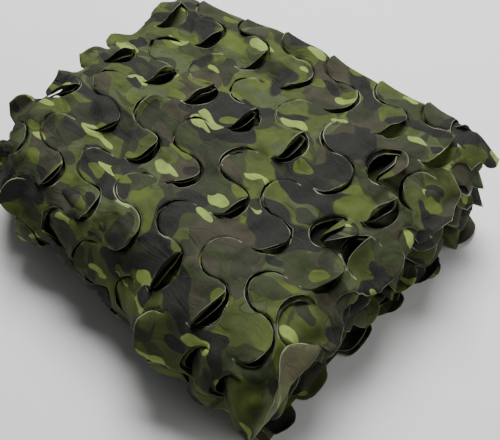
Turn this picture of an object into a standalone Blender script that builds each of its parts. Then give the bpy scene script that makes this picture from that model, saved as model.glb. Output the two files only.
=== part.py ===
"""A leaf-cut camouflage net, folded into a flat pack.

The net is one sheet of coated cloth, cut all over with S-shaped slits that leave two leaf tongues each.
It is folded back and forth, and its outermost turn wraps the long side and the top of the pack.
Units are metres. The pack lies on Z = 0 with its folds parallel to X and its wrapped side at -Y.
"""
import math

import bpy
import numpy as np
from mathutils import Vector
from mathutils.geometry import delaunay_2d_cdt

# The pack as a whole.
CLOTH_THICKNESS = 0.002
PACK_WIDTH = 0.444
PACK_HEIGHT = 0.158
WRAP_RADIUS = 0.080
WIDTH_TAPER = 0.13
TAPER_HALF_REACH = 0.277
END_DROOP = {"starts": 0.215, "reach": 0.060, "fall": 0.040}
LONGEST_HALF = 0.36

# The top is crowned and a little uneven.
CROWN = {"edge": 0.152, "rise": 0.016, "half_x": 0.30, "half_y": 0.24}
SWELLS = (
    {"height": 0.004, "per_x": 19, "per_y": 7, "phase": 0.6},
    {"height": 0.003, "per_x": -11, "per_y": 31, "phase": 0.0},
    {"height": 0.003, "per_x": 27, "per_y": -15, "phase": 0.0},
)

# The layers inside, each a little uneven. A wave's phase turns with the level of its layer.
LAYERS_INSIDE = 9
FOLD_RADIUS = 0.008
FOLD_CLEARANCE = 0.016
FOLD_STAGGER = {"least": 0.004, "step": 0.005}
LAYER_WAVES = (
    {"share": 0.015, "per_x": 23, "per_y": 9, "per_level": 14},
    {"share": 0.015, "per_x": -21, "per_y": 17, "per_level": 19},
)
STEEPEST_WRAP = 0.88
BASE_EDGE_INSET = 0.014
ARC_STEPS = 12

# Half of the cloth's width across the folds, where each run of it starts and ends.
HALF_CUTS = {
    "base": (0.252, 0.252),
    "wrap": (0.252, 0.283),
    "top": (0.283, 0.268),
    "inside": (0.240, 0.240),
}

# The slits and their leaves. Rows are counted from the far fold, back over the top and down the wrap.
SLIT_ROWS = (
    {"inset": 0.0235, "leaves": ("near",)},
    {"inset": 0.1345, "leaves": ("far", "near")},
    {"inset": 0.2485, "leaves": ("far", "near")},
    {"inset": 0.3625, "leaves": ("far", "near")},
    {"inset": 0.4765, "leaves": ("far", "near")},
    {"inset": 0.5870, "leaves": ("far",)},
)
# Each column's place, as a share of half the cloth's width. The first has room for its near leaf alone.
SLIT_COLUMNS = (-0.908, -0.637, -0.365, -0.093, 0.178, 0.450, 0.722)
SLIT_TILT = math.radians(8)
SLIT_WIDTH = 0.008
SLIT_WAIST = 0.003
SLIT_SWELL_POWER = 0.7
LEAF_RADIUS = 0.0285
LEAF_ARC_HALF_ANGLE = math.radians(105)
LEAF_STEPS = 6
LEAF_LIFT = {"least": 0.006, "most": 0.020, "curl_power": 1.4}

# The leaf tabs along the two cut ends.
TAB_PITCH = 0.076
TAB_WIDTH = 0.046
TAB_REACH = {"least": 0.0195, "step": 0.00325}
TAB_STAGGER = {"least": 0.35, "step": 0.10}
TAB_STEPS = 5
TAB_DROOP = 0.45
EDGE_CLEARANCE = 0.004
SHORTEST_EDGE = 0.002

# Where the flat cloth may bend.
FOLD_STOPS = (0.0, 0.27, 0.5, 0.73, 1.0)
INSIDE_STOPS = (1 / 3, 2 / 3)
FOLD_COLUMNS = (-0.225, -0.18, -0.09, 0.0, 0.09, 0.18, 0.225)
LEAF_STOPS = ((0.45, 0.0), (-0.10, 0.5), (-0.10, -0.5))
GRID_STEP = 0.040
GRID_COLUMNS = 14
POINT_CLEARANCE = 0.009
JOIN_DISTANCE = 0.00001

CLOTH_COLOUR = (0.075, 0.095, 0.040)
CLOTH_ROUGHNESS = 0.85
SEED = 11


def material(name, colour, roughness):
    """A matt finish for one piece."""
    finish = bpy.data.materials.new(name)
    finish.use_nodes = True
    shader = finish.node_tree.nodes["Principled BSDF"]
    shader.inputs["Base Color"].default_value = (*colour, 1.0)
    shader.inputs["Roughness"].default_value = roughness
    shader.inputs["Metallic"].default_value = 0.0
    return finish


class Section:
    """The folded cloth seen end on: distance along it, Y and the share of the pack's height."""

    def __init__(self):
        self.points = []
        self.runs = []
        self.far_y = PACK_WIDTH / 2
        self.wrap_y = -PACK_WIDTH / 2 + WRAP_RADIUS
        self.lay_outside()
        self.lay_inside()
        self.y = np.array([point[0] for point in self.points])
        self.level = np.array([point[1] for point in self.points])
        lengths = np.hypot(np.diff(self.y), np.diff(self.level) * PACK_HEIGHT)
        self.along = np.concatenate([[0.0], np.cumsum(lengths)])

    def add_run(self, name, first):
        self.runs.append({"name": name, "first": first, "last": len(self.points) - 1})

    def add_turn(self, centre_y, radius_y, low, high, turn):
        """Adds half a turn between two levels, bulging towards turn, where +1 is +Y."""
        middle = (low + high) / 2
        for step in range(1, ARC_STEPS + 1):
            angle = math.pi * step / ARC_STEPS
            bulge = turn * radius_y * math.sin(angle)
            self.points.append((centre_y + bulge, middle + (low - middle) * math.cos(angle)))

    def lay_outside(self):
        """The flat base, the turn round the wrapped side and the top."""
        self.points.append((self.far_y - BASE_EDGE_INSET, 0.0))
        self.points.append((self.wrap_y, 0.0))
        self.add_run("base", 0)
        self.add_turn(self.wrap_y, WRAP_RADIUS, 0.0, 1.0, -1)
        self.add_run("wrap", 1)
        self.points.append((self.far_y - FOLD_RADIUS, 1.0))
        self.add_run("top", len(self.points) - 2)

    def lay_inside(self):
        """The layers under the top, each joined to the one above by a tight fold."""
        gap = 1.0 / (LAYERS_INSIDE + 1)
        level = 1.0
        for layer in range(LAYERS_INSIDE):
            at_far_side = layer % 2 == 0
            start = len(self.points) - 1
            self.add_turn(self.points[-1][0], FOLD_RADIUS, level, level - gap, 1 if at_far_side else -1)
            self.add_run("fold", start)
            level -= gap
            if at_far_side:
                end_y = self.fold_by_wrap(level - gap / 2)
            else:
                stagger = FOLD_STAGGER["least"] + FOLD_STAGGER["step"] * (layer * 5 % 3)
                end_y = self.far_y - FOLD_RADIUS - stagger
            self.points.append((end_y, level))
            self.add_run("inside", len(self.points) - 2)

    def fold_by_wrap(self, level):
        """Y of a fold that stops short of the wrap's curve at this level."""
        across = np.clip(2 * level - 1, -STEEPEST_WRAP, STEEPEST_WRAP)
        return self.wrap_y - WRAP_RADIUS * math.sqrt(1 - across ** 2) + FOLD_CLEARANCE + FOLD_RADIUS

    def at(self, along):
        return np.interp(along, self.along, self.y), np.interp(along, self.along, self.level)

    def span(self, run):
        return self.along[run["first"]], self.along[run["last"]]

    def half_lengths(self):
        """Half the cloth's width across the folds, as matched tables against the distance along it."""
        places, halves = [], []
        for run in self.runs:
            if run["name"] in HALF_CUTS:
                places += self.span(run)
                halves += HALF_CUTS[run["name"]]
        return places, halves

    def fold_lines(self):
        """Distances along the cloth where it bends: five in each tight fold and two in each layer."""
        lines = []
        for run in self.runs:
            low, high = self.span(run)
            stops = {"fold": FOLD_STOPS, "inside": INSIDE_STOPS}.get(run["name"], ())
            lines += [low + (high - low) * stop for stop in stops]
        return lines


def droop(x):
    """How far the top falls towards the two cut ends."""
    past = np.clip((np.abs(x) - END_DROOP["starts"]) / END_DROOP["reach"], 0.0, None)
    return END_DROOP["fall"] * past ** 2


def length_along_x():
    """Distance along the drooping top as a function of X, as two matched tables."""
    x = np.linspace(0.0, LONGEST_HALF, 181)
    steps = np.hypot(np.diff(x), np.diff(droop(x)))
    return x, np.concatenate([[0.0], np.cumsum(steps)])


def top_height(x, y):
    """Height of the outermost layer: a crown, the soft swells and the fall towards the ends."""
    crown = CROWN["rise"] * (1 - (x / CROWN["half_x"]) ** 2) * (1 - (y / CROWN["half_y"]) ** 2)
    height = CROWN["edge"] + crown - droop(x)
    for swell in SWELLS:
        height = height + swell["height"] * np.sin(swell["per_x"] * x + swell["per_y"] * y + swell["phase"])
    return height


def layer_wave(x, y, level):
    """Unevenness of the layers between the flat base and the top, as a share of the pack's height."""
    wave = 0.0
    for each in LAYER_WAVES:
        phase = each["per_level"] * level
        wave = wave + each["share"] * np.sin(each["per_x"] * x + each["per_y"] * y + phase)
    return wave * np.clip(4 * level * (1 - level), 0.0, 1.0)


def folded(section, along, across):
    """Carries flat cloth, given as distances along and across the folds, onto the folded pack."""
    table_x, table_length = length_along_x()
    y, level = section.at(along)
    drooping = np.interp(np.abs(across), table_length, table_x)
    x = np.sign(across) * (np.abs(across) + (drooping - np.abs(across)) * level ** 2)
    y = y * (1 + WIDTH_TAPER * x / TAPER_HALF_REACH)
    base = CLOTH_THICKNESS / 2
    rise = level + layer_wave(x, y, level)
    past_edge = np.clip(np.abs(across) - np.interp(along, *section.half_lengths()), 0.0, None)
    z = base + rise * (top_height(x, y) - base) - TAB_DROOP * level * past_edge
    return np.stack([x, y, z], axis=-1)


def turned(vector):
    """A slit's own direction, (along, across), turned by the slits' tilt."""
    along, across = vector
    cosine, sine = math.cos(SLIT_TILT), math.sin(SLIT_TILT)
    return np.array([along * cosine + across * sine, across * cosine - along * sine])


def leaf(name):
    """One leaf of a slit about its middle, with its root, the way it points and the centre of its arc."""
    end = {"far": 1, "near": -1}[name]
    root = np.array([end * LEAF_RADIUS * math.sin(LEAF_ARC_HALF_ANGLE), 0.0])
    side = np.array([0.0, -end])
    centre = root - side * LEAF_RADIUS * math.cos(LEAF_ARC_HALF_ANGLE)
    return {"end": end, "root": turned(root), "side": turned(side), "centre": turned(centre)}


def slit_path(names):
    """The S of one slit, or half of it, as (along, across) points, round the far leaf and the near one."""
    path = []
    for each in map(leaf, names):
        for step in range(1 if path else 0, LEAF_STEPS + 1):
            angle = LEAF_ARC_HALF_ANGLE * (1 - 2 * step / LEAF_STEPS)
            offset = turned((math.sin(angle), -each["end"] * math.cos(angle)))
            path.append(each["centre"] + LEAF_RADIUS * offset)
    return np.array(path)


def slit_outline(names):
    """The open slot that the slit gapes to: it keeps the cloth's rim and takes its width off the leaves."""
    path = slit_path(names)
    last = len(path) - 1
    left, right = [], []
    for index in range(1, last):
        ahead = path[index + 1] - path[index - 1]
        normal = np.array([-ahead[1], ahead[0]]) / np.linalg.norm(ahead)
        swelling = abs(math.sin(math.pi * index / LEAF_STEPS)) ** SLIT_SWELL_POWER
        opening = swelling * (SLIT_WIDTH - SLIT_WAIST)
        round_far_leaf = names[index // LEAF_STEPS % len(names)] == "far"
        left.append(path[index] + normal * (SLIT_WAIST / 2 + opening * (not round_far_leaf)))
        right.append(path[index] - normal * (SLIT_WAIST / 2 + opening * round_far_leaf))
    return [path[0], *right, path[last], *reversed(left)]


def slits_of(section):
    """The slits of the top and the wrapped side, each with its middle and the names of its leaves."""
    top_end = section.span(next(run for run in section.runs if run["name"] == "top"))[1]
    reach = np.abs(slit_path(("far", "near"))).max(axis=0)[0]
    slits = []
    for row in SLIT_ROWS:
        along = top_end - row["inset"]
        ends = [along - reach, min(along + reach, top_end)]
        half = np.interp(ends, *section.half_lengths()).min()
        for share in SLIT_COLUMNS:
            names = row["leaves"] if share > SLIT_COLUMNS[0] else ("near",)
            if set(names) <= set(row["leaves"]):
                slits.append({"middle": np.array([along, share * half]), "leaves": names})
    return slits


def cut_edge(section, side):
    """One cut end of the whole cloth as (along, across) points, with a leaf tab at each pitch."""
    stops = [(0.0, 0.0), (section.along[-1], 0.0)]
    stops += [(line, 0.0) for line in section.fold_lines()]
    for index, run in enumerate(section.runs):
        low, high = section.span(run)
        if run["name"] == "fold":
            continue
        count = max(int((high - low) / TAB_PITCH), 1)
        stagger = TAB_STAGGER["least"] + TAB_STAGGER["step"] * ((index * 3 + side) % 4)
        for tab in range(count):
            reach = TAB_REACH["least"] + TAB_REACH["step"] * ((tab * 2 + index + side) % 3)
            for step in range(TAB_STEPS):
                turn = math.pi * step / (TAB_STEPS - 1)
                place = low + (tab + stagger) * (high - low) / count - TAB_WIDTH / 2 * math.cos(turn)
                if low + EDGE_CLEARANCE < place < high - EDGE_CLEARANCE:
                    stops.append((place, reach * math.sin(turn)))
    edge = []
    for place, reach in sorted(stops):
        if not edge or place - edge[-1][0] > SHORTEST_EDGE:
            half = np.interp(place, *section.half_lengths())
            edge.append((place, side * (half + reach)))
    return edge


def loose_points(section, slits):
    """Inner points that let the flat cloth bend: a few in each leaf and a loose grid elsewhere."""
    loose = []
    for slit in slits:
        for each in map(leaf, slit["leaves"]):
            sideways = np.array([-each["side"][1], each["side"][0]])
            for ahead, aside in LEAF_STOPS:
                stop = ahead * each["side"] + aside * sideways
                loose.append(slit["middle"] + each["centre"] + LEAF_RADIUS * stop)
    for run in section.runs:
        low, high = section.span(run)
        if run["name"] in ("wrap", "top"):
            for along in np.linspace(low, high, int((high - low) / GRID_STEP) + 1):
                for column in range(GRID_COLUMNS):
                    loose.append(np.array([along, (column - (GRID_COLUMNS - 1) / 2) * GRID_STEP]))
    return loose


def cloth_pattern(section, slits):
    """Triangles of the flat cloth: its outline and folds, less the slots, as points and faces."""
    near = cut_edge(section, -1)
    far = cut_edge(section, 1)
    outline = near + far[::-1]
    points = [Vector(point) for point in outline]
    rings = [list(range(len(outline)))]
    taken = np.array(outline)
    for slit in slits:
        slot = slit_outline(slit["leaves"])
        rings.append(list(range(len(points), len(points) + len(slot))))
        points += [Vector(slit["middle"] + corner) for corner in slot]
        taken = np.vstack([taken, slit_path(slit["leaves"]) + slit["middle"]])
    edges = []
    for line in section.fold_lines():
        ends = [min(edge, key=lambda point: abs(point[0] - line))[1] for edge in (near, far)]
        first = len(points)
        points += [Vector((line, across)) for across in (ends[0], *FOLD_COLUMNS, ends[1])]
        edges += [(corner, corner + 1) for corner in range(first, len(points) - 1)]
    for point in loose_points(section, slits):
        if np.hypot(*(taken - point).T).min() > POINT_CLEARANCE:
            points.append(Vector(point))
    found = delaunay_2d_cdt(points, edges, rings, 1, JOIN_DISTANCE)
    corners = np.array([tuple(point) for point in found[0]])
    faces = [tuple(face) for face, inside in zip(found[2], found[5]) if len(inside) == 1]
    return corners, faces


def leaf_frame(section, root):
    """A leaf's root on the folded cloth, with the directions along, across and out of the cloth there."""
    step = SHORTEST_EDGE / 4
    near = np.array([root, root + (step, 0), root - (step, 0), root + (0, step), root - (0, step)])
    placed = folded(section, near[:, 0], near[:, 1])
    ahead = (placed[1] - placed[2]) / np.linalg.norm(placed[1] - placed[2])
    aside = (placed[3] - placed[4]) / np.linalg.norm(placed[3] - placed[4])
    return placed[0], ahead, aside, np.cross(aside, ahead)


def raise_leaves(section, flat, shape, slits):
    """Leaves stay flat where the cloth bends and lift at their tips, so that each slit gapes."""
    chance = np.random.default_rng(SEED)
    reach = LEAF_RADIUS * (1 - math.cos(LEAF_ARC_HALF_ANGLE))
    for slit in slits:
        for each in map(leaf, slit["leaves"]):
            lift = chance.uniform(LEAF_LIFT["least"], LEAF_LIFT["most"])
            root, ahead, aside, normal = leaf_frame(section, slit["middle"] + each["root"])
            offset = flat - slit["middle"] - each["root"]
            depth = offset @ each["side"]
            within = np.hypot(*(flat - slit["middle"] - each["centre"]).T) < LEAF_RADIUS
            chosen = within & (depth > SHORTEST_EDGE / 4)
            share = np.clip(depth[chosen] / reach, 0.0, 1.0)[:, None]
            straight = root + offset[chosen, :1] * ahead + offset[chosen, 1:] * aside
            blend = np.clip(share * 2, 0.0, 1.0)
            raised = normal * lift * share ** LEAF_LIFT["curl_power"]
            shape[chosen] = shape[chosen] * (1 - blend) + straight * blend + raised
    above = flat[:, 0] > section.span(section.runs[0])[1] + EDGE_CLEARANCE
    shape[above, 2] = np.maximum(shape[above, 2], 1.5 * CLOTH_THICKNESS)
    return shape


def net():
    """The whole net: flat cloth with its slits, folded into the pack and given its thickness."""
    section = Section()
    slits = slits_of(section)
    flat, faces = cloth_pattern(section, slits)
    shape = folded(section, flat[:, 0], flat[:, 1])
    shape = raise_leaves(section, flat, shape, slits)
    shape[:, :2] -= (shape[:, :2].min(axis=0) + shape[:, :2].max(axis=0)) / 2
    mesh = bpy.data.meshes.new("net")
    mesh.from_pydata([tuple(point) for point in shape], [], faces)
    mesh.materials.append(material("net_cloth", CLOTH_COLOUR, CLOTH_ROUGHNESS))
    piece = bpy.data.objects.new("net", mesh)
    bpy.context.scene.collection.objects.link(piece)
    wall = piece.modifiers.new("thickness", "SOLIDIFY")
    wall.thickness = CLOTH_THICKNESS
    wall.offset = 0.0


for leftover in list(bpy.data.objects):
    bpy.data.objects.remove(leftover, do_unlink=True)
net()
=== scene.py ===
import bpy
import math
import numpy as np
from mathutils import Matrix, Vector
from mathutils.geometry import delaunay_2d_cdt
from mathutils.kdtree import KDTree


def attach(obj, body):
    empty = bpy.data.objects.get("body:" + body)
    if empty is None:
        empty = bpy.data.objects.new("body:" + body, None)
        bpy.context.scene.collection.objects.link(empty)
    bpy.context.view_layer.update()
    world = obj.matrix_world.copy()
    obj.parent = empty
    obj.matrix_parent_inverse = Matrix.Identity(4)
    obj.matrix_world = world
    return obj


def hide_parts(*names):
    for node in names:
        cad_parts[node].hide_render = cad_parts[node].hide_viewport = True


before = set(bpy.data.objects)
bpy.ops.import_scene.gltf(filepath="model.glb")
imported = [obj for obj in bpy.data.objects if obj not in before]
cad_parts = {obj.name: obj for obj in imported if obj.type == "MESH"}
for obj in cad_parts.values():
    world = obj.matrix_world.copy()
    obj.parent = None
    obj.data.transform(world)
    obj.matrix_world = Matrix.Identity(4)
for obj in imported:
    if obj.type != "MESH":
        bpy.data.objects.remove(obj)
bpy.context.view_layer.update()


# The camera looks down on the pack's near corner, where its wrapped side meets the cut ends of
# the layers. It stands well back with a long lens, which draws the pack with little perspective.
camera_data = bpy.data.cameras.new("camera")
camera = bpy.data.objects.new("camera", camera_data)
bpy.context.scene.collection.objects.link(camera)
camera_turn = math.radians(42.4)
camera_height = math.radians(51.3)
camera_back = Vector((
    math.sin(camera_turn) * math.cos(camera_height),
    -math.cos(camera_turn) * math.cos(camera_height),
    math.sin(camera_height),
))
camera_right = Vector((math.cos(camera_turn), math.sin(camera_turn), 0.0))
camera_up = camera_back.cross(camera_right)
pack_middle = Vector((0.0, 0.0, 0.07))
camera_distance = 1.6
aim_to_right, aim_down = 0.0374, 0.0353
camera.location = pack_middle + camera_back * camera_distance
camera_aim = pack_middle + camera_right * aim_to_right - camera_up * aim_down
camera.rotation_mode = "QUATERNION"
camera.rotation_quaternion = (camera.location - camera_aim).to_track_quat("Z", "Y")
camera_data.sensor_width = 36.0
camera_data.lens = 85.0
camera_data.clip_start = 0.05
camera_data.clip_end = 60.0
bpy.context.scene.camera = camera


# The studio: a pale paper floor under the pack, a large soft light above its far side, a weak one
# beside its +X end, and an even, dim room.
def plain_finish(name, colour, roughness):
    finish = bpy.data.materials.new(name)
    finish.use_nodes = True
    shader = finish.node_tree.nodes["Principled BSDF"]
    shader.inputs["Base Color"].default_value = (*colour, 1.0)
    shader.inputs["Roughness"].default_value = roughness
    return finish


floor_mesh = bpy.data.meshes.new("studio_floor")
floor_mesh.from_pydata([(-9, -9, 0), (9, -9, 0), (9, 9, 0), (-9, 9, 0)], [], [(0, 1, 2, 3)])
floor_mesh.materials.append(plain_finish("pale_paper", (0.93, 0.93, 0.92), 0.9))
studio_floor = bpy.data.objects.new("studio_floor", floor_mesh)
bpy.context.scene.collection.objects.link(studio_floor)


def soft_light(name, place, aim, size, power):
    light_data = bpy.data.lights.new(name, "AREA")
    light_data.shape = "SQUARE"
    light_data.size = size
    light_data.energy = power
    light = bpy.data.objects.new(name, light_data)
    light.location = place
    light.rotation_mode = "QUATERNION"
    light.rotation_quaternion = (Vector(place) - Vector(aim)).to_track_quat("Z", "Y")
    bpy.context.scene.collection.objects.link(light)


soft_light("overhead_softbox", (-0.55, 0.93, 2.05), (0.0, 0.0, 0.1), 1.3, 90.0)
soft_light("end_fill", (2.4, 0.1, 1.4), (0.0, 0.0, 0.1), 1.2, 18.0)

room = bpy.data.worlds.new("studio_room")
bpy.context.scene.world = room
room.use_nodes = True
room.node_tree.nodes["Background"].inputs["Color"].default_value = (0.95, 0.98, 1.0, 1.0)
room.node_tree.nodes["Background"].inputs["Strength"].default_value = 0.095


# The net is one length of thin coated cloth, printed all over and cut with rows of S-shaped slits,
# and each slit frees two leaf tongues. Its outer turn lies doubled round the base, the long side
# and the top, and the rest is folded back and forth inside. It lies by its own weight.
CLOTH_THICKNESS = 0.0005
PACK_WIDTH = 0.444
PACK_HEIGHT = 0.158
WRAP_RADIUS = 0.080
LAYERS_INSIDE = 9
FOLD_RADIUS = 0.008
UNDER_GAP = 0.0052
LEAF_RADIUS = 0.0285
LEAF_HALF_ARC = math.radians(105)
LEAF_REACH = LEAF_RADIUS * (1 - math.cos(LEAF_HALF_ARC))
SLIT_TILT = math.radians(8)
# Half the width that the slits are spread over, at the start and the end of a run.
SLIT_SPREAD = {"wrap": (0.252, 0.283), "top": (0.283, 0.268)}
# Half the cloth's width at the start and the end of each run, at the -X cut end and the +X one.
HALF_CUTS = {
    -1: {
        "under top": (0.256, 0.260), "under wrap": (0.260, 0.246), "under base": (0.246, 0.246),
        "base": (0.246, 0.246), "wrap": (0.246, 0.262), "top": (0.262, 0.262),
        "inside": (0.248, 0.248),
    },
    1: {
        "under top": (0.258, 0.268), "under wrap": (0.268, 0.250), "under base": (0.250, 0.250),
        "base": (0.240, 0.240), "wrap": (0.240, 0.272), "top": (0.272, 0.264),
        "inside": (0.246, 0.246),
    },
}
cloth_chance = np.random.default_rng(7)


def fold_section():
    """The folded cloth seen end on: distance along it, Y, share of the height, and its runs."""
    wrap_y = -PACK_WIDTH / 2 + WRAP_RADIUS
    under = UNDER_GAP / PACK_HEIGHT
    gap = 1.0 / (LAYERS_INSIDE + 1)
    points = [(PACK_WIDTH / 2 - FOLD_RADIUS, 1 - gap + under)]
    runs = []

    def add_straight(name, y, level):
        points.append((y, level))
        runs.append([name, len(points) - 2, len(points) - 1])

    def add_turn(name, radius_y, low, high, turn):
        centre_y, start = points[-1][0], len(points) - 1
        for step in range(1, 25):
            angle = math.pi * step / 24
            level = (low + high) / 2 + (low - high) / 2 * math.cos(angle)
            points.append((centre_y + turn * radius_y * math.sin(angle), level))
        runs.append([name, start, len(points) - 1])

    add_turn("under fold", FOLD_RADIUS - 0.003, 1 - gap + under, 1 - under, 1)
    add_straight("under top", wrap_y, 1 - under)
    add_turn("under wrap", WRAP_RADIUS - UNDER_GAP, 1 - under, under, -1)
    add_straight("under base", PACK_WIDTH / 2 - 0.014, under)
    add_turn("base fold", UNDER_GAP / 2, under, 0.0, 1)
    add_straight("base", wrap_y, 0.0)
    add_turn("wrap", WRAP_RADIUS, 0.0, 1.0, -1)
    add_straight("top", PACK_WIDTH / 2 - FOLD_RADIUS, 1.0)
    level = 1.0
    for layer in range(LAYERS_INSIDE):
        at_far_side = layer % 2 == 0
        turn = 1 if at_far_side else -1
        add_turn("far fold" if at_far_side else "near fold", FOLD_RADIUS, level, level - gap, turn)
        level -= gap
        rounded = min(max(2 * (level - gap / 2) - 1, -0.88), 0.88)
        by_wrap = wrap_y - WRAP_RADIUS * math.sqrt(1 - rounded ** 2) + 0.016 + FOLD_RADIUS
        by_far_side = PACK_WIDTH / 2 - FOLD_RADIUS - 0.004 - 0.005 * (layer * 5 % 3)
        add_straight("inside", by_wrap if at_far_side else by_far_side, level)
    y, level = np.array(points).T
    along = np.concatenate([[0.0], np.cumsum(np.hypot(np.diff(y), np.diff(level) * PACK_HEIGHT))])
    return along, y, level, [(name, along[first], along[last]) for name, first, last in runs]


ALONG, SECTION_Y, SECTION_LEVEL, RUNS = fold_section()
CLOTH_LENGTH = float(ALONG[-1])
SPANS = {name: (low, high) for name, low, high in reversed(RUNS)}
TOP_END = SPANS["top"][1]
WRAP_START = SPANS["wrap"][0]
UNDER_START, UNDER_END = SPANS["under top"][0], SPANS["under wrap"][1]


def beneath(along):
    """The second layer's place right under a place on the top or the wrapped side."""
    for name in ("top", "wrap"):
        low, high = SPANS[name]
        if low <= along <= high:
            under_low, under_high = SPANS["under " + name]
            return under_high - (along - low) / (high - low) * (under_high - under_low)
    return SPANS["under top"][0]


def half_length(along, halves_of_run):
    """Half the cloth's width across the folds at a distance along it."""
    places, halves = [], []
    for name, low, high in RUNS:
        if name in halves_of_run:
            places += [low, high]
            halves += halves_of_run[name]
    return np.interp(along, places, halves)


DROOP_START, DROOP_RUN, DROOP_DEPTH = 0.215, 0.060, 0.040
TOP_LEVEL, CROWN_HEIGHT = 0.152, 0.016
# Swells of the top, most of them along its far edge: X, Y, height and spread.
TOP_SWELLS = (
    (-0.26, 0.02, 0.010, 0.05), (-0.18, 0.22, 0.012, 0.05), (-0.08, 0.22, 0.010, 0.05),
    (0.00, 0.22, 0.012, 0.06), (0.10, 0.22, 0.018, 0.06), (0.20, 0.22, 0.015, 0.06),
    (0.06, 0.02, -0.006, 0.05), (0.19, -0.13, 0.006, 0.05),
)


def droop(x):
    """How far the top falls towards the two cut ends."""
    past = np.clip((np.abs(x) - DROOP_START) / DROOP_RUN, 0.0, None)
    return DROOP_DEPTH * past ** 2


def bump(x, y, middle_x, middle_y, spread):
    return np.exp(-((x - middle_x) ** 2 + (y - middle_y) ** 2) / spread ** 2)


def top_height(x, y):
    """Height of the outer turn: a crown, soft swells and the fall towards the two cut ends."""
    crown = CROWN_HEIGHT * (1 - (x / 0.30) ** 2) * (1 - (y / 0.24) ** 2)
    swells = 0.004 * np.sin(19 * x + 7 * y + 0.6) + 0.003 * np.sin(31 * y - 11 * x)
    for swell_x, swell_y, height, spread in TOP_SWELLS:
        swells = swells + height * bump(x, y, swell_x, swell_y, spread)
    return TOP_LEVEL + crown + swells + 0.003 * np.sin(27 * x - 15 * y) - droop(x)


FAN_OUT = 0.13
FAN_REACH = 0.277
MIDDLE_X, MIDDLE_Y = 0.00165, 0.00128
BASE_LEVEL = 0.001


def folded(along, across):
    """Carries flat cloth, given as distances along and across the folds, onto the folded pack.

    The top droops, the pack fans out towards +X, and each layer rises and falls a little.
    """
    table_x = np.linspace(0.0, 0.36, 181)
    steps = np.hypot(np.diff(table_x), np.diff(droop(table_x)))
    table_length = np.concatenate([[0.0], np.cumsum(steps)])
    y = np.interp(along, ALONG, SECTION_Y)
    level = np.interp(along, ALONG, SECTION_LEVEL)
    drooping = np.interp(np.abs(across), table_length, table_x)
    x = np.sign(across) * (np.abs(across) + (drooping - np.abs(across)) * level ** 2)
    y = y * (1 + FAN_OUT * x / FAN_REACH)
    wave = np.sin(23 * x + 9 * y + 14 * level) + np.sin(17 * y - 21 * x + 19 * level)
    rise = level + 0.015 * wave * np.clip(4 * level * (1 - level), 0.0, 1.0)
    z = BASE_LEVEL + rise * (top_height(x, y) - BASE_LEVEL)
    return np.stack([x + MIDDLE_X, y + MIDDLE_Y, z], axis=-1)


def cloth_frame(along, across):
    """Place on the folded cloth, with the unit directions along it, across it and out of it."""
    step = 0.0015
    place = folded(along, across)
    ahead = folded(along + step, across) - folded(along - step, across)
    aside = folded(along, across + step) - folded(along, across - step)
    ahead /= np.linalg.norm(ahead, axis=-1, keepdims=True)
    aside /= np.linalg.norm(aside, axis=-1, keepdims=True)
    normal = np.cross(aside, ahead)
    return place, ahead, aside, normal / np.linalg.norm(normal, axis=-1, keepdims=True)


# Each slit is an S of two arcs. Its far leaf points across the cloth to -X and its near one to +X.
def turned(along, across):
    cosine, sine = math.cos(SLIT_TILT), math.sin(SLIT_TILT)
    return np.array([along * cosine + across * sine, across * cosine - along * sine])


LEAVES = {}
for leaf_name, leaf_end in (("far", 1), ("near", -1)):
    root_along = leaf_end * LEAF_RADIUS * math.sin(LEAF_HALF_ARC)
    LEAVES[leaf_name] = {
        "end": leaf_end,
        "root": turned(root_along, 0.0),
        "side": turned(0.0, -leaf_end),
        "centre": turned(root_along, leaf_end * LEAF_RADIUS * math.cos(LEAF_HALF_ARC)),
    }


def slit_path(names, steps):
    path = []
    for name in names:
        end = LEAVES[name]["end"]
        for step in range(1 if path else 0, steps + 1):
            angle = LEAF_HALF_ARC * (1 - 2 * step / steps)
            offset = turned(math.sin(angle), -end * math.cos(angle))
            path.append(LEAVES[name]["centre"] + LEAF_RADIUS * offset)
    return np.array(path)


def slit_sides(slit, margin):
    """The ends of a slit, and the two edges it gapes to or lines a margin away from them."""
    names, steps = slit["leaves"], slit["steps"]
    path = slit_path(names, steps)
    left, right = [], []
    for index in range(1, len(path) - 1):
        ahead = path[index + 1] - path[index - 1]
        normal = np.array([-ahead[1], ahead[0]]) / np.linalg.norm(ahead)
        opening = abs(math.sin(math.pi * index / steps)) ** 0.7 * slit["gape"]
        round_far_leaf = names[index // steps % len(names)] == "far"
        left.append(path[index] + normal * (0.0004 + margin + opening * (not round_far_leaf)))
        right.append(path[index] - normal * (0.0004 + margin + opening * round_far_leaf))
    return path, left, right


def on_cloth(slit, offsets):
    """A slit's own offsets as places on the flat cloth."""
    return slit["middle"] + np.asarray(offsets) * slit["size"] * (slit["flip"], 1)


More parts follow.
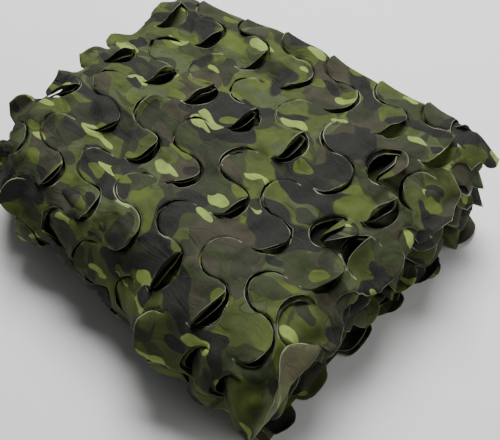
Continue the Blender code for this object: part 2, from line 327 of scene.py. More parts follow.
# Rows are counted from the far fold, back over the top and down the wrapped side, where the last
# has far leaves alone. Columns run from -X to +X. The first and the last have room for one leaf.
slits = []
ROW_INSETS = (0.0235, 0.1345, 0.2485, 0.3625, 0.4765, 0.5870)
COLUMN_SHARES = (-0.908, -0.637, -0.365, -0.093, 0.178, 0.450, 0.722, 0.900)
LAST_ROW, LAST_COLUMN = len(ROW_INSETS) - 1, len(COLUMN_SHARES) - 1
HALF_ROW = 0.055
for row, inset in enumerate(ROW_INSETS):
    slit_along = TOP_END - inset
    row_ends = [slit_along - HALF_ROW, min(slit_along + HALF_ROW, TOP_END)]
    row_half = half_length(row_ends, SLIT_SPREAD).min()
    for column, share in enumerate(COLUMN_SHARES):
        names = ("far",) if row == LAST_ROW else ("far", "near")
        if column == 0:
            names = ("near",)
        if column == LAST_COLUMN:
            names = ("far",)
        if row == LAST_ROW and column in (0, LAST_COLUMN):
            continue
        middle = np.array([slit_along, share * row_half])
        middle += cloth_chance.uniform(-0.0025, 0.0025, 2)
        place = {"middle": middle, "leaves": names, "row": row, "column": column}
        gape = 0.0004 + 0.0030 * cloth_chance.uniform() ** 2
        slits.append(place | {
            "layer": "outer", "steps": 14, "size": 1.0, "flip": 1, "out": 1, "gape": gape,
        })
        if row not in (0, LAST_ROW):
            under = np.array([beneath(middle[0]), middle[1]])
            under += cloth_chance.uniform(-0.001, 0.001, 2)
            slits.append(place | {
                "layer": "under", "middle": under, "steps": 11, "size": 0.925, "flip": -1,
                "out": -1, "gape": gape,
            })

# The folds at the far side hold slits too, so that their leaves stand out of the stack there.
for order, (run_name, low, high) in enumerate(RUNS):
    if run_name != "far fold" or low < TOP_END + 0.01:
        continue
    for column in range(6):
        share = -0.80 + 0.31 * column + 0.12 * (order % 3 - 1)
        middle = np.array([(low + high) / 2 + 0.010 * ((column + order) % 3 - 1), share * 0.22])
        slits.append({
            "middle": middle, "leaves": ("far", "near"), "row": -1, "column": column,
            "layer": "fold", "steps": 8, "size": 1.0, "flip": 1, "out": 1, "gape": 0.001,
        })


# The two cut ends run through the slits, which leaves a row of round tabs along each layer. At the
# +X end the top is notched between its tabs, and one wide tab turns up over it as a flap.
FLAP = {"row": 3, "width": 0.120, "reach": 0.060, "bend": 150, "roll": 0.4, "wave": 0.009}
FAR_SIDE_TAB_WIDTH = 0.050
TAB_STEPS = 12


def cut_end(side):
    """One cut end as (along, across) points, and its tabs with how each one bends."""
    stops = {0.0: 0.0, CLOTH_LENGTH: 0.0}
    tabs = []
    for index, (name, low, high) in enumerate(RUNS):
        if "fold" in name:
            for place in np.linspace(low, high, 7):
                stops[float(place)] = 0.0
            continue
        for place in np.arange(low, high, 0.008):
            stops[float(place)] = 0.0
        inner = name in ("inside", "under top", "under wrap")
        pitch = cloth_chance.uniform(0.058, 0.076) if inner else 0.068
        count = max(int((high - low) / pitch), 1)
        stagger = 0.36 + 0.09 * ((index * 3 + side) % 4)
        for middle in low + (np.arange(count) + stagger) * (high - low) / count:
            middle += cloth_chance.uniform(-0.12, 0.12) * (high - low) / count
            width = cloth_chance.uniform(0.040, 0.062)
            reach_range = (0.020, 0.042) if inner else (0.014, 0.032)
            reach = cloth_chance.uniform(*reach_range)
            outline = "round"
            if side == 1 and name != "top":
                by_near_corner = np.interp(middle, ALONG, SECTION_Y) < 0.04
                reach_range = (0.010, 0.024) if by_near_corner else (0.026, 0.046)
                reach = cloth_chance.uniform(*reach_range)
            if side == -1 and name == "top":
                width = cloth_chance.uniform(0.052, 0.064)
                reach = cloth_chance.uniform(0.020, 0.030)
            if name in ("top", "wrap") and side == 1:
                row_places = TOP_END - np.array(ROW_INSETS)
                nearest = ROW_INSETS[int(np.argmin(np.abs(row_places - middle)))]
                middle, width = TOP_END - nearest + 0.031, 0.074
                reach = cloth_chance.uniform(0.014, 0.026)
            if side == -1 and name == "top" and middle > high - 0.08:
                reach = 0.008
            section_y = np.interp(middle, ALONG, SECTION_Y)
            if side == -1 and name == "inside" and section_y < -0.05:
                reach = cloth_chance.uniform(0.008, 0.018)
            by_far_side = section_y > 0.15 and np.interp(middle, ALONG, SECTION_LEVEL) > 0.45
            if side == 1 and by_far_side and name == "top":
                width, reach = FAR_SIDE_TAB_WIDTH, 0.024
            elif side == 1 and by_far_side and name == "inside":
                outline = "pointed"
                width = cloth_chance.uniform(0.036, 0.050)
                reach = cloth_chance.uniform(0.030, 0.044)
            bend = None
            if side == -1 and name == "top" and middle < low + 0.09:
                width, reach, bend = 0.054, 0.029, 118
            elif side == -1 and name == "wrap" and middle > high - 0.10:
                width, reach, bend = 0.046, 0.024, 75
            tabs.append({
                "side": side, "middle": middle, "width": width, "reach": reach, "run": name,
                "outline": outline, "bend": bend,
            })
    if side == 1:
        tabs.append({
            "side": 1, "middle": TOP_END - ROW_INSETS[FLAP["row"]] - 0.030,
            "width": FLAP["width"], "reach": FLAP["reach"], "run": "top", "outline": "flap",
            "bend": FLAP["bend"],
        })
        for inset in ROW_INSETS[:3] + ROW_INSETS[4:5]:
            tabs.append({
                "side": side, "middle": TOP_END - inset - 0.029, "width": 0.036,
                "reach": -cloth_chance.uniform(0.016, 0.024), "run": "top", "outline": "notch",
            })
    for tab in tabs:
        for step in range(TAB_STEPS + 1):
            place = tab["middle"] - tab["width"] / 2 * math.cos(math.pi * step / TAB_STEPS)
            name, low, high = next(
                run for run in RUNS if run[1] <= max(place, 0.0) <= run[2] or run is RUNS[-1]
            )
            if "fold" not in name and low + 0.004 < place < high - 0.004:
                stops.setdefault(float(place), 0.0)
    for tab in tabs:
        for place, reach in stops.items():
            share = abs(2 * (place - tab["middle"]) / tab["width"])
            if share < 1:
                outline = math.sqrt(1 - share ** 2)
                if tab["outline"] == "pointed":
                    outline = (1 - share ** 1.3) ** 0.9
                if tab["outline"] == "notch":
                    stops[place] = min(reach, tab["reach"] * outline) if reach <= 0 else reach
                else:
                    stops[place] = max(reach, tab["reach"] * outline)
    tabs = [tab for tab in tabs if tab["outline"] != "notch"]
    edge = []
    for place in sorted(stops):
        if not edge or place - edge[-1][0] > 0.0018:
            edge.append((place, side * (half_length(place, HALF_CUTS[side]) + stops[place])))
    return edge, tabs


near_end, near_tabs = cut_end(-1)
far_end, far_tabs = cut_end(1)
# The two hems across the folds are straight.
hem = np.linspace(-0.23, 0.23, 24)
last_hem = [(CLOTH_LENGTH, across) for across in hem]
first_hem = [(0.0, -across) for across in hem]
cut_outline = near_end + last_hem + far_end[::-1] + first_hem
tabs = near_tabs + far_tabs

cloth_points = [Vector(point) for point in cut_outline]
cloth_rings = [list(range(len(cut_outline)))]
cut_lines = [np.array(cut_outline + cut_outline[:1])]
beside_cuts = []
for slit in slits:
    path, left, right = slit_sides(slit, 0.0)
    slot = on_cloth(slit, [path[0], *right, path[-1], *reversed(left)])[::slit["flip"]]
    cloth_rings.append(list(range(len(cloth_points), len(cloth_points) + len(slot))))
    cloth_points += [Vector(corner) for corner in slot]
    cut_lines.append(np.vstack([slot, slot[:1]]))
    path, left, right = slit_sides(slit, 0.0034)
    beside_cuts += list(on_cloth(slit, [*left, *right]))
for end_points, side in ((near_end, -1), (far_end, 1)):
    for place, across in end_points[1:-1:2]:
        beside_cuts.append(np.array([place, across - side * 0.004]))

CUT_SAMPLE_STEP = 0.0012
cut_samples = []
for line in cut_lines:
    for start, stop in zip(line[:-1], line[1:]):
        count = max(int(np.hypot(*(stop - start)) / CUT_SAMPLE_STEP), 1)
        cut_samples += [start + (stop - start) * step / count for step in range(count)]


def nearness(samples):
    """Distance of a place on the flat cloth from the nearest of these."""
    tree = KDTree(len(samples))
    for index, sample in enumerate(samples):
        tree.insert((sample[0], sample[1], 0.0), index)
    tree.balance()
    return lambda place: tree.find((place[0], place[1], 0.0))[2]


def grid(alongs, acrosses, stagger=0.0):
    """Places in rows along the cloth, with every other row moved across it by the stagger."""
    return [
        (along, across + stagger * (order % 2))
        for order, along in enumerate(alongs) for across in acrosses
    ]


# The outer turn is meshed finely, the cloth behind it less so, and its flat middle coarsely.
OUTER_STEP = 0.0058
UNDER_STEP = 0.009
from_cut, from_ring = nearness(cut_samples), nearness(beside_cuts)
cloth_points += [Vector(place) for place in beside_cuts if from_cut(place) > 0.0022]
loose = []
for name, low, high in RUNS:
    if name in ("wrap", "top"):
        rows = np.linspace(low, high, int((high - low) / OUTER_STEP) + 1)
        loose += grid(rows, np.arange(-0.312, 0.312, OUTER_STEP), OUTER_STEP / 2)
    elif name in ("under top", "under wrap"):
        rows = np.linspace(low, high, int((high - low) / UNDER_STEP) + 1)
        loose += grid(rows, np.arange(-0.312, 0.312, UNDER_STEP), UNDER_STEP / 2)
    elif "fold" in name:
        loose += grid(np.linspace(low, high, 8), np.arange(-0.262, 0.262, UNDER_STEP))
    elif "base" in name:
        loose += grid(np.linspace(low, high, 9), np.arange(-0.272, 0.273, 0.034))
    else:
        left_strip = np.arange(-0.268, -0.180, 0.008)
        right_strip = np.arange(0.180, 0.268, 0.008)
        loose += grid(np.linspace(low, high, 42)[1:-1], np.concatenate([left_strip, right_strip]))
        loose += grid(np.linspace(low, high, 12)[1:-1], np.arange(-0.16, 0.17, 0.032))
        starts_far = SECTION_Y[np.searchsorted(ALONG, low)] > 0
        fold_end, inward = (low, 0.055) if starts_far else (high, -0.055)
        rows = np.linspace(fold_end, fold_end + inward, 8)[1:]
        loose += grid(rows, np.arange(-0.16, 0.165, 0.010))
cloth_points += [
    Vector(place) for place in loose if from_cut(place) > 0.0043 and from_ring(place) > 0.0026
]

found = delaunay_2d_cdt(cloth_points, [], cloth_rings, 1, 1e-6)
flat = np.array([tuple(point) for point in found[0]])
# Faces in one ring only are cloth. Those in two are the open slits.
cloth_faces = np.array([
    tuple(face) for face, rings in zip(found[2], found[5]) if len(rings) == 1
])
used, cloth_faces = np.unique(cloth_faces, return_inverse=True)
flat, cloth_faces = flat[used], cloth_faces.reshape(-1, 3).tolist()
edge_distance = np.array([from_cut(place) for place in flat])


# The cloth on its folds, with the creases and small buckles of stiff thin cloth.
def buckles(x, y, z, count, shortest, longest, seed):
    """Uneven waves of many directions, between about -1 and 1."""
    chance = np.random.default_rng(seed)
    total = np.zeros_like(x)
    for _ in range(count):
        heading = chance.normal(size=3)
        wavelength = math.exp(chance.uniform(math.log(shortest), math.log(longest)))
        heading *= 2 * math.pi / wavelength / np.linalg.norm(heading)
        phase = chance.uniform(0, 2 * math.pi)
        total += np.sin(x * heading[0] + y * heading[1] + z * heading[2] + phase)
    return total / math.sqrt(count)


# Bulges and dents of the wrapped side: X, Y, how far out and spread.
WALL_BUMPS = (
    (-0.27, -0.19, -0.018, 0.05), (0.08, -0.23, 0.010, 0.05), (0.17, -0.24, 0.010, 0.05),
    (0.095, -0.225, 0.012, 0.026), (-0.24, -0.22, -0.008, 0.06),
)
# Hollows in the layers inside, under three openings of the top, which show dark for them: X, Y.
HOLLOWS = ((0.205, 0.085), (0.205, -0.030), (0.235, -0.145))
HOLLOW_DEPTH, HOLLOW_SPREAD = 0.024, 0.032


def lying(along, across):
    """As cloth_frame, with the swells, ridges, crumples and hollows of the cloth in its place."""
    place, ahead, aside, outward = cloth_frame(along, across)
    x, y, z = place.T
    outer = np.clip((along - WRAP_START - 0.02) / 0.05, 0, 1)
    outer *= np.clip((TOP_END - along) / 0.02, 0, 1)
    under = np.clip((UNDER_END - along - 0.02) / 0.05, 0, 1)
    under *= np.clip((along - UNDER_START) / 0.02, 0, 1)
    inside = np.clip((along - TOP_END) / 0.02, 0, 1)
    soft = buckles(x, y, z, 9, 0.08, 0.18, 21)
    fine = buckles(x, y, z, 14, 0.028, 0.060, 22)
    ridges = np.abs(np.clip(buckles(x, y, z, 6, 0.07, 0.17, 23), -1, 1))
    sharp = np.clip(1 - 2 * ridges, 0, 1) ** 4
    crumpled = np.clip((x - 0.12) / 0.08, 0, 1) + np.clip((y - 0.13) / 0.06, 0, 1)
    crumple = np.abs(buckles(x, y, z, 5, 0.035, 0.080, 24)) - 0.5
    wall = np.clip(2 - np.abs(z - 0.05) / 0.035, 0, 1) * np.clip((-0.16 - y) / 0.04, 0, 1)
    scallops = np.abs(buckles(x, y * 0, 0.5 * z, 4, 0.07, 0.12, 25)) - 0.5
    swell = 0.0034 * soft + 0.0058 * sharp + 0.0024 * fine + 0.0150 * wall * scallops
    swell += 0.0036 * crumple * np.clip(crumpled + 0.15, 0, 1)
    for bump_x, bump_y, height, spread in WALL_BUMPS:
        swell += height * bump(x, y, bump_x, bump_y, spread)
    relief = swell * (outer - under) + inside * (0.0026 * soft + 0.0012 * fine)
    place = place + outward * relief[:, None]
    hollow = inside * np.clip((np.interp(along, ALONG, SECTION_LEVEL) - 0.4) / 0.5, 0, 1)
    for hollow_x, hollow_y in HOLLOWS:
        place[:, 2] -= HOLLOW_DEPTH * hollow * bump(x, y, hollow_x, hollow_y, HOLLOW_SPREAD)
    return place, ahead, aside, outward


along, across = flat.T
shape, _, _, outward = lying(along, across)


def swung(swept, bend, hinge):
    """How far cloth runs on and rises if it bends evenly over a hinge and is straight after it."""
    bend = np.where(np.abs(bend) < 0.02, 0.02, bend)
    curved = np.minimum(swept, hinge)
    angle, straight = bend * curved / hinge, swept - curved
    run_on = np.sin(angle) * hinge / bend + straight * np.cos(angle)
    rise = (1 - np.cos(angle)) * hinge / bend + straight * np.sin(angle)
    return run_on[:, None], rise[:, None]


# Each leaf bends up about a line that starts at one end of its root, and cups and waves at its
# rim. These leaves, by row, column and side, bend by an angle of their own in degrees. Those over
# 95 are turned right over, and those under 0 hang down.
own_bends = {
    (0, 1, "far"): 4, (0, 2, "far"): 6, (0, 3, "far"): 2, (0, 4, "far"): 7, (0, 5, "far"): 3,
    (0, 6, "far"): 12, (0, 5, "near"): 72, (0, 0, "near"): 54, (0, 1, "near"): 60,
    (0, 7, "far"): -34,
    (1, 6, "far"): 150, (1, 3, "near"): 78, (1, 0, "near"): 62, (1, 5, "near"): 60,
    (1, 7, "far"): 35,
    (2, 6, "far"): 165, (2, 5, "near"): 74, (2, 2, "far"): 58, (2, 0, "near"): 85,
    (2, 4, "far"): -16, (2, 7, "far"): 62,
    (3, 6, "far"): 10, (3, 5, "near"): 80, (3, 0, "near"): 12, (3, 6, "near"): 34,
    (3, 4, "far"): -18, (3, 7, "far"): -38,
    (4, 3, "far"): 34, (4, 4, "near"): 42, (4, 1, "near"): -16, (4, 2, "near"): -24,
    (4, 3, "near"): -20, (4, 5, "near"): -26, (4, 6, "near"): -16, (4, 6, "far"): -30,
    (4, 4, "far"): -24, (4, 2, "far"): -22, (4, 7, "far"): -26,
}
ROOT_HALF = LEAF_RADIUS * math.sin(LEAF_HALF_ARC)
SAG_REACH = 0.020
LIP_WIDTH = 0.007
poses = {}
for slit in slits:
    for name in slit["leaves"]:
        key = (slit["row"], slit["column"], name)
        if slit["layer"] != "under":
            lifted = cloth_chance.uniform()
            pose = poses[key] = {
                "bend": 30 + 62 * lifted if name == "near" else 3 + 30 * lifted ** 2,
                "askew": cloth_chance.uniform(*((8, 36) if name == "near" else (0, 25))),
                "roll": cloth_chance.uniform(-0.3, 0.4),
                "cup": cloth_chance.uniform(-0.005, 0.002),
                "wave": cloth_chance.uniform(0.0005, 0.0028),
                "lobes": cloth_chance.uniform(2.2, 4.5),
                "phase": cloth_chance.uniform(0, 2 * math.pi),
                "sag": cloth_chance.uniform(-0.0022, 0.0028),
                "lip": cloth_chance.uniform(-0.0015, 0.0032),
                "hinge": LEAF_REACH * cloth_chance.uniform(0.35, 0.9),
                "heel": 1 if name == "near" else cloth_chance.choice([-1, 1]),
                "under_share": cloth_chance.uniform(0.5, 1.0),
            }
            if slit["column"] == 0 and slit["row"] != 2:
                pose["under_share"] = 0.1
            if slit["row"] == 0 and name == "far":
                pose["askew"], pose["wave"], pose["lip"] = 0.1 * pose["askew"], 0.001, 0.0
            if key in own_bends:
                pose["bend"], pose["roll"] = own_bends[key], pose["roll"] * 0.4
                if own_bends[key] < 0:
                    pose["hinge"], pose["under_share"] = 0.008, 1.0
                elif own_bends[key] > 95:
                    pose["hinge"], pose["under_share"] = 0.010, 0.95
                    pose["askew"] = 0.3 * pose["askew"]
            elif slit["layer"] == "fold" or slit["row"] == 0 and name == "far":
                pose["bend"] = cloth_chance.uniform(-5, 65)
                pose["wave"] = cloth_chance.uniform(0.002, 0.006)
            elif slit["row"] >= 4:
                pose["bend"] = cloth_chance.uniform(16, 60)
                if slit["row"] == LAST_ROW or name == "near":
                    pose["bend"], pose["askew"] = cloth_chance.uniform(6, 20), 0.3 * pose["askew"]
        pose, leaf = poses[key], LEAVES[name]
        bend, hinge = math.radians(pose["bend"]), pose["hinge"]
        if slit["layer"] == "under":
            bend *= pose["under_share"]
            hinge += UNDER_GAP * bend
        local = (flat - slit["middle"]) * (slit["flip"], 1) / slit["size"]
        radius = np.hypot(*(local - leaf["centre"]).T)
        depth = (local - leaf["root"]) @ leaf["side"]
        sideways = np.array([-leaf["side"][1], leaf["side"][0]])
        around = (radius >= LEAF_RADIUS - 0.0001) & (radius < LEAF_RADIUS + SAG_REACH)
        beyond = np.nonzero(around & (depth > -0.01))[0]
        facing = (local[beyond] - leaf["centre"]) @ leaf["side"]
        facing = np.clip(facing / radius[beyond] + 0.25, 0, 1)
        fade = (1 - np.clip((radius[beyond] - LEAF_RADIUS) / SAG_REACH, 0, 1)) ** 2
        shape[beyond] -= outward[beyond] * (slit["out"] * pose["sag"] * fade * facing)[:, None]

        askew = math.radians(pose["askew"])
        bend_side = pose["heel"] * math.sin(askew) * sideways + math.cos(askew) * leaf["side"]
        past_fold = (local - leaf["root"] - pose["heel"] * ROOT_HALF * sideways) @ bend_side
        on_leaf = (radius < LEAF_RADIUS - 0.0001) & (depth > 0.0002)
        chosen = np.nonzero(on_leaf & (past_fold > 0))[0]
        swept = past_fold[chosen]
        along_hinge = np.array([-bend_side[1], bend_side[0]])
        wide = (local[chosen] - leaf["centre"]) @ along_hinge / LEAF_RADIUS
        foot = on_cloth(slit, local[chosen] - swept[:, None] * bend_side)
        foot_place, foot_ahead, foot_aside, foot_out = lying(*foot.T)
        foot_out = foot_out * slit["out"]
        onward = bend_side[0] * slit["flip"] * foot_ahead + bend_side[1] * foot_aside
        run_on, rise = swung(swept * slit["size"], bend * (1 + pose["roll"] * wide), hinge)
        share = np.clip(swept / LEAF_REACH, 0, 1)
        ripple = pose["cup"] * share * wide ** 2
        ripple += share ** 2 * pose["wave"] * np.sin(pose["lobes"] * wide + pose["phase"])
        by_rim = np.clip(1 - (LEAF_RADIUS - radius[chosen]) / LIP_WIDTH, 0, 1)
        ripple += pose["lip"] * by_rim ** 2 * np.minimum(2 * share, 1)
        shape[chosen] = foot_place + onward * run_on + foot_out * (rise + ripple[:, None])

# The tabs of the cut ends hang and curl, each in its own way.
for tab in tabs:
    halves = HALF_CUTS[tab["side"]]
    past = tab["side"] * across - half_length(along, halves)
    beside = np.abs(along - tab["middle"]) < tab["width"] / 2 + 0.002
    chosen = np.nonzero((past > 0.0) & beside)[0]
    if not len(chosen):
        continue
    edge_along = along[chosen]
    edge_across = tab["side"] * half_length(edge_along, halves)
    place, _, edge_aside, edge_out = lying(edge_along, edge_across)
    if tab["run"] not in ("wrap", "under wrap"):
        edge_out = edge_out * np.where(edge_out[:, 2:3] < 0, -1, 1)
    low_bend, high_bend = (-50, 95) if tab["run"] in ("top", "wrap") else (-130, -30)
    if "base" in tab["run"]:
        low_bend, high_bend = 2, 35
    elif tab["run"] == "under wrap":
        low_bend, high_bend = 0, 60
    elif tab["run"] == "inside" and cloth_chance.uniform() < 0.22 and place[:, 2].max() < 0.11:
        low_bend, high_bend = 0, 80
    at_far_corner = tab["run"] == "top" and tab["width"] == FAR_SIDE_TAB_WIDTH
    if tab["outline"] == "pointed" or tab["side"] == 1 and at_far_corner:
        low_bend, high_bend = -25, 15
    elif tab["side"] == -1 and tab["run"] == "top":
        low_bend, high_bend = 40, 95
    elif tab["side"] == -1 and tab["run"] == "wrap":
        low_bend, high_bend = 30, 85
    if tab["reach"] < 0.010:
        low_bend, high_bend = -60, -30
    bend = math.radians(cloth_chance.uniform(low_bend, high_bend))
    roll = cloth_chance.uniform(-0.9, 0.9)
    wave, phase = cloth_chance.uniform(0, 0.006), cloth_chance.uniform(0, 6)
    if tab["side"] == -1 and tab["run"] == "top":
        roll *= 0.3
    hinge = 0.8 * tab["reach"]
    if tab["bend"]:
        bend, roll, wave = math.radians(tab["bend"]), 0.2 * roll, 0.001
        hinge = 0.32 * tab["reach"]
    if tab["outline"] == "flap":
        roll, wave = FLAP["roll"], FLAP["wave"]
    wide = (edge_along - tab["middle"]) / (tab["width"] / 2)
    run_on, rise = swung(past[chosen], bend * (1 + roll * wide), hinge)
    ripple = wave * np.sin(3 * wide + phase) * np.clip(past[chosen] / tab["reach"], 0, 1)
    shape[chosen] = (
        place + edge_aside * tab["side"] * run_on + edge_out * (rise + ripple[:, None])
    )

# The cloth rests on the ground, and the flap shows the paler underside of its cloth.
LOWEST = 0.0006
shape[:, 2] = np.maximum(shape[:, 2], LOWEST)
flap = next(tab for tab in tabs if tab["outline"] == "flap")
flap_past = across - half_length(along, HALF_CUTS[1])
paled = np.clip(flap_past / 0.004, 0, 1) * (np.abs(along - flap["middle"]) < flap["width"] / 2)

net_mesh = bpy.data.meshes.new("net_cloth_sheet")
net_mesh.from_pydata(shape.tolist(), [], cloth_faces)
net_sheet = bpy.data.objects.new("net_cloth_sheet", net_mesh)
bpy.context.scene.collection.objects.link(net_sheet)
net_mesh.polygons.foreach_set("use_smooth", [True] * len(net_mesh.polygons))
cloth_uv = net_mesh.uv_layers.new(name="flat_cloth")
corner_points = np.empty(len(net_mesh.loops), np.int32)
net_mesh.loops.foreach_get("vertex_index", corner_points)
cloth_uv.data.foreach_set("uv", flat[corner_points].astype(np.float32).ravel())
cut_attribute = net_mesh.attributes.new("from_cut", "FLOAT", "POINT")
cut_attribute.data.foreach_set("value", edge_distance.astype(np.float32))
paled_attribute = net_mesh.attributes.new("paled", "FLOAT", "POINT")
paled_attribute.data.foreach_set("value", paled.astype(np.float32))
net_wall = net_sheet.modifiers.new("thickness", "SOLIDIFY")
net_wall.thickness = CLOTH_THICKNESS
net_wall.offset = 0.0

# The print is a woodland one of soft greens with charcoal and brown patches and sparse bright
# drops. It lies on the flat cloth, so it runs on over the folds and is cut through by the slits.
cloth_finish = plain_finish("net_cloth_print", (0.05, 0.07, 0.03), 0.82)
cloth_finish.node_tree.nodes["Principled BSDF"].inputs["Specular IOR Level"].default_value = 0.25
net_mesh.materials.append(cloth_finish)
nodes, links = cloth_finish.node_tree.nodes, cloth_finish.node_tree.links


def wire(source, target):
    if hasattr(source, "links"):
        links.new(source, target)
    else:
        target.default_value = source


def moved(vector, place, turn, size):
    mapping = nodes.new("ShaderNodeMapping")
    wire(vector, mapping.inputs["Vector"])
    mapping.inputs["Location"].default_value = place
    mapping.inputs["Rotation"].default_value = (0, 0, turn)
    mapping.inputs["Scale"].default_value = size
    return mapping.outputs["Vector"]


def cloudy(vector, scale, detail, distortion, output="Fac"):
    noise = nodes.new("ShaderNodeTexNoise")
    wire(vector, noise.inputs["Vector"])
    noise.inputs["Scale"].default_value = scale
    noise.inputs["Detail"].default_value = detail
    noise.inputs["Distortion"].default_value = distortion
    return noise.outputs[output]


def between(value, low, high):
    """0 at low and 1 at high, with a soft step."""
    stretch = nodes.new("ShaderNodeMapRange")
    stretch.interpolation_type = "SMOOTHSTEP"
    wire(value, stretch.inputs["Value"])
    stretch.inputs["From Min"].default_value = low
    stretch.inputs["From Max"].default_value = high
    return stretch.outputs["Result"]


def calculated(kind, first, second, third=None):
    maths = nodes.new("ShaderNodeMath")
    maths.operation = kind
    wire(first, maths.inputs[0])
    wire(second, maths.inputs[1])
    if third is not None:
        wire(third, maths.inputs[2])
    return maths.outputs[0]


def over(under, colour, mask):
    mix = nodes.new("ShaderNodeMix")
    mix.data_type = "RGBA"
    wire(mask, mix.inputs["Factor"])
    wire(under if hasattr(under, "links") else (*under, 1.0), mix.inputs[6])
    wire(colour if hasattr(colour, "links") else (*colour, 1.0), mix.inputs[7])
    return mix.outputs[2]


outline_ink = (0.014, 0.017, 0.010)


def patch(under, colour, cloud, threshold, soft=0.004, rim=0.014):
    """A printed patch where the cloud is over the threshold, with a thin darker outline."""
    outline = calculated("MULTIPLY", between(cloud, threshold - rim, threshold - rim / 3), 0.6)
    inside_patch = between(cloud, threshold - soft, threshold + soft)
    return over(over(under, outline_ink, outline), colour, inside_patch)


flat_place = nodes.new("ShaderNodeUVMap")
flat_place.uv_map = "flat_cloth"
flat_place = flat_place.outputs["UV"]
wander = nodes.new("ShaderNodeVectorMath")
wander.operation = "MULTIPLY_ADD"
wire(cloudy(flat_place, 24.0, 1.0, 0.0, "Color"), wander.inputs[0])
wander.inputs[1].default_value = (0.030, 0.030, 0.0)
wire(flat_place, wander.inputs[2])
wavy_place = wander.outputs["Vector"]

green = (0.060, 0.080, 0.019)
fresh_green = (0.088, 0.116, 0.020)
dull_green = (0.066, 0.088, 0.036)
deep_green = (0.032, 0.043, 0.017)
slate = (0.024, 0.029, 0.016)
charcoal = (0.012, 0.011, 0.014)
brown = (0.044, 0.040, 0.026)
bright = (0.270, 0.365, 0.085)
worn_coating = (0.105, 0.120, 0.050)
pale_underside = (0.115, 0.110, 0.055)
pale_edge_and_rim_highlight = (0.24, 0.25, 0.17)
shades = cloudy(moved(flat_place, (3.1, 1.7, 0), 0.4, (1.0, 0.7, 1)), 16.0, 2.0, 0.3)
printed = over(green, fresh_green, between(shades, 0.47, 0.62))
lighter = cloudy(moved(wavy_place, (2.9, 8.2, 0), 2.0, (1.0, 0.6, 1)), 26.0, 0.0, 0.7)
printed = patch(printed, dull_green, lighter, 0.59)
browns = cloudy(moved(wavy_place, (7.3, 4.1, 0), 1.1, (0.75, 1.0, 1)), 11.0, 0.0, 0.6)
printed = patch(printed, brown, browns, 0.530)
leafy = cloudy(moved(wavy_place, (1.9, 3.2, 0), 2.6, (1.0, 0.5, 1)), 30.0, 0.0, 0.6)
printed = patch(printed, deep_green, leafy, 0.63)
slates = cloudy(moved(wavy_place, (4.4, 9.6, 0), 0.2, (0.6, 1.0, 1)), 26.0, 0.0, 0.4)
printed = patch(printed, slate, slates, 0.67)
darks = cloudy(moved(wavy_place, (5.5, 2.6, 0), 0.9, (1.0, 0.65, 1)), 16.0, 0.0, 0.6)
printed = patch(printed, charcoal, darks, 0.575)


def scattered(place, turn, flatness, scale, randomness=1.0):
    """Cells strewn over the cloth: distance from their middles, and two chances of each cell."""
    cells = nodes.new("ShaderNodeTexVoronoi")
    cells.voronoi_dimensions = "2D"
    cells.inputs["Scale"].default_value = scale
    cells.inputs["Randomness"].default_value = randomness
    wire(moved(wavy_place, place, turn, (1.0, flatness, 1)), cells.inputs["Vector"])
    chances = nodes.new("ShaderNodeSeparateColor")
    wire(cells.outputs["Color"], chances.inputs["Color"])
    return cells.outputs["Distance"], chances.outputs[0], chances.outputs[1]


# Long bright drops of uneven size, and after them small spots of three of the other colours.
for turn, place in (
    (0.35, (2.3, 0.4, 0)), (1.25, (6.1, 3.3, 0)), (-0.55, (9.4, 5.8, 0)), (2.1, (4.2, 7.7, 0)),
):
    distance, chosen_cell, size_chance = scattered(place, turn, 0.36, 21.0, 0.85)
    drop_reach = calculated("MULTIPLY_ADD", size_chance, 0.10, 0.065)
    inside_drop = between(calculated("SUBTRACT", distance, drop_reach), 0.006, -0.006)
    drop_mask = calculated("MULTIPLY", inside_drop, between(chosen_cell, 0.76, 0.77))
    printed = over(printed, bright, drop_mask)
for turn, place, colour in (
    (0.9, (3.3, 6.4, 0), charcoal), (2.4, (8.1, 1.3, 0), slate),
    (0.1, (5.2, 9.1, 0), fresh_green),
):
    distance, chosen_cell, _ = scattered(place, turn, 0.55, 24.0)
    inside_spot = between(distance, 0.190, 0.178)
    spot_mask = calculated("MULTIPLY", inside_spot, between(chosen_cell, 0.60, 0.61))
    printed = over(printed, colour, spot_mask)

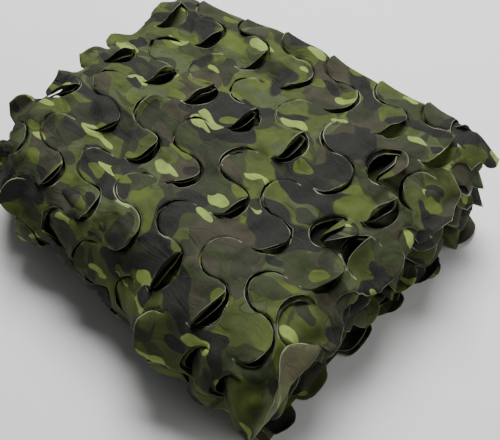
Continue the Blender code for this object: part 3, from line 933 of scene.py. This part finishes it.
# The print is darkened a little, with a fine paler grain, and its tone is uneven.
darkening, grain_strength = 0.10, 0.18
grain = between(cloudy(flat_place, 620.0, 2.0, 0.0), 0.30, 0.72)
printed = over(printed, (0.0, 0.0, 0.0), darkening)
printed = over(printed, worn_coating, calculated("MULTIPLY", grain, grain_strength))
mottle = nodes.new("ShaderNodeMix")
mottle.data_type = "RGBA"
mottle.blend_type = "MULTIPLY"
mottle.inputs["Factor"].default_value = 1.0
tones = nodes.new("ShaderNodeMapRange")
wire(cloudy(flat_place, 60.0, 5.0, 0.0), tones.inputs["Value"])
tones.inputs["From Min"].default_value = 0.3
tones.inputs["From Max"].default_value = 0.7
tones.inputs["To Min"].default_value = 0.80
tones.inputs["To Max"].default_value = 1.16
wire(printed, mottle.inputs[6])
wire(tones.outputs["Result"], mottle.inputs[7])
printed = mottle.outputs[2]

# The flap's cloth is paler, and along every cut a pale line of uneven width is painted: partly the
# raw edge, partly a painted highlight of the cut rim catching the light.
paled_place = nodes.new("ShaderNodeAttribute")
paled_place.attribute_name = "paled"
flap_mask = calculated("MULTIPLY", paled_place.outputs["Fac"], 0.45)
printed = over(printed, pale_underside, flap_mask)

cut_place = nodes.new("ShaderNodeAttribute")
cut_place.attribute_name = "from_cut"
# Painted highlight: the pale band along every cut stands partly for light on the cut rims and
# partly for the raw edge.
edge_band_reach = calculated("MULTIPLY_ADD", cloudy(flat_place, 28.0, 2.0, 0.0), 0.0052, -0.0024)
rim_highlight_band = between(calculated("SUBTRACT", cut_place.outputs["Fac"], edge_band_reach), 0.0002, -0.0002)
printed = over(printed, pale_edge_and_rim_highlight, rim_highlight_band)
wire(printed, nodes["Principled BSDF"].inputs["Base Color"])

# The weave is a fine check of threads, with long soft creases over it.
threads = nodes.new("ShaderNodeTexChecker")
threads.inputs["Scale"].default_value = 1400.0
wire(flat_place, threads.inputs["Vector"])
weave = nodes.new("ShaderNodeBump")
weave.inputs["Strength"].default_value = 0.25
weave.inputs["Distance"].default_value = 0.0003
wire(threads.outputs["Fac"], weave.inputs["Height"])
creases = cloudy(moved(wavy_place, (1.2, 5.1, 0), 0.7, (1.0, 0.45, 1)), 44.0, 2.0, 0.8)
ridges = nodes.new("ShaderNodeMath")
ridges.operation = "PINGPONG"
wire(creases, ridges.inputs[0])
ridges.inputs[1].default_value = 0.5
folds = nodes.new("ShaderNodeBump")
folds.inputs["Strength"].default_value = 0.6
folds.inputs["Distance"].default_value = 0.006
wire(ridges.outputs[0], folds.inputs["Height"])
wire(weave.outputs["Normal"], folds.inputs["Normal"])
wire(folds.outputs["Normal"], nodes["Principled BSDF"].inputs["Normal"])

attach(net_sheet, "root")
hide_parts("net")
